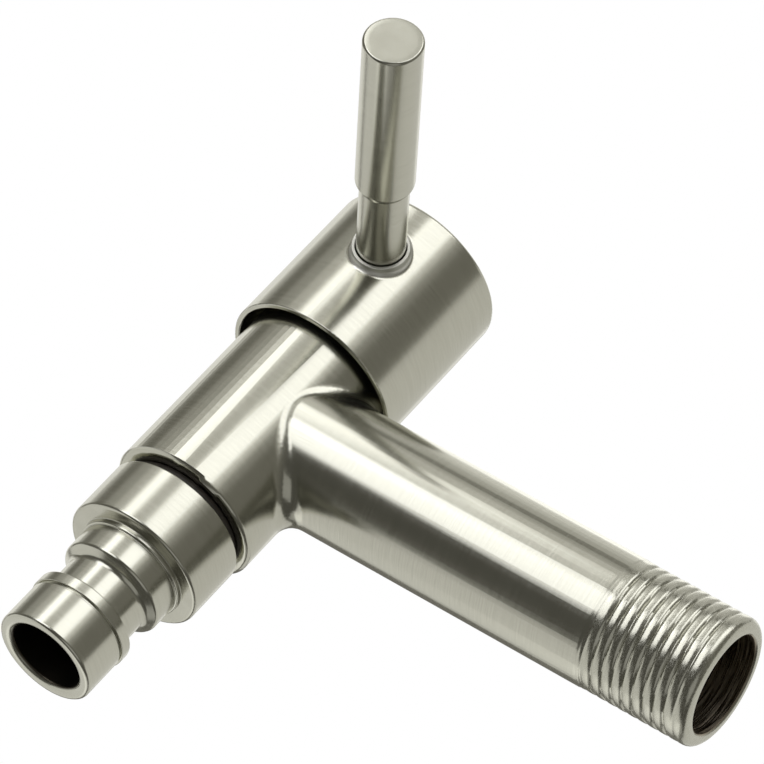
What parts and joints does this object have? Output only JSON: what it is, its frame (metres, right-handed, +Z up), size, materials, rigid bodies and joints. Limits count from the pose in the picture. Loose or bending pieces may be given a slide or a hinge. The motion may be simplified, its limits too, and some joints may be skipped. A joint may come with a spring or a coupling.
{
  "type": "hose tap",
  "caption": "Stainless wall tap with a side inlet, a quarter-turn ceramic disc cartridge under a lever cap, and a push-on hose nozzle pointing down.",
  "frame": {"origin": "centre of the inlet branch's end face", "axes": "+Y out of the inlet, towards the wall fitting; +Z up along the barrel, from the hose nozzle to the handle cap; +X towards the lever at rest"},
  "size_m": [0.0781, 0.0986, 0.0924],
  "materials": {
    "brushed_stainless": "fine brushed stainless steel, slightly warm grey",
    "turned_stainless": "fine turned and lightly polished stainless steel",
    "plain_steel": "machined steel",
    "brass": "machined brass",
    "ceramic": "lapped alumina",
    "black_rubber": "matt black EPDM",
    "nylon": "natural acetal"
  },
  "bodies": {
    "tap_body": {"valve_body": "brushed_stainless", "nozzle": "turned_stainless", "nozzle_gasket": "black_rubber", "cartridge_housing": "brass", "cartridge_gasket": "black_rubber", "seat_seal": "black_rubber", "seal_support_ring": "nylon", "fixed_disc": "ceramic", "glide_washer": "nylon"},
    "handle": {"handle_cap": "brushed_stainless", "handle_hub": "plain_steel", "hub_washer": "plain_steel", "hub_screw": "plain_steel", "lever_rod": "brushed_stainless", "spindle": "brass", "spindle_circlip": "plain_steel", "lower_spindle_o_ring": "black_rubber", "upper_spindle_o_ring": "black_rubber", "moving_disc": "ceramic"}
  },
  "joints": [
    {"name": "handle_turn", "type": "hinge", "parent": "tap_body", "child": "handle", "pos_m": [0, -0.084, 0], "axis": [0, 0, 1], "range_deg": [-90, 0]}
  ]
}
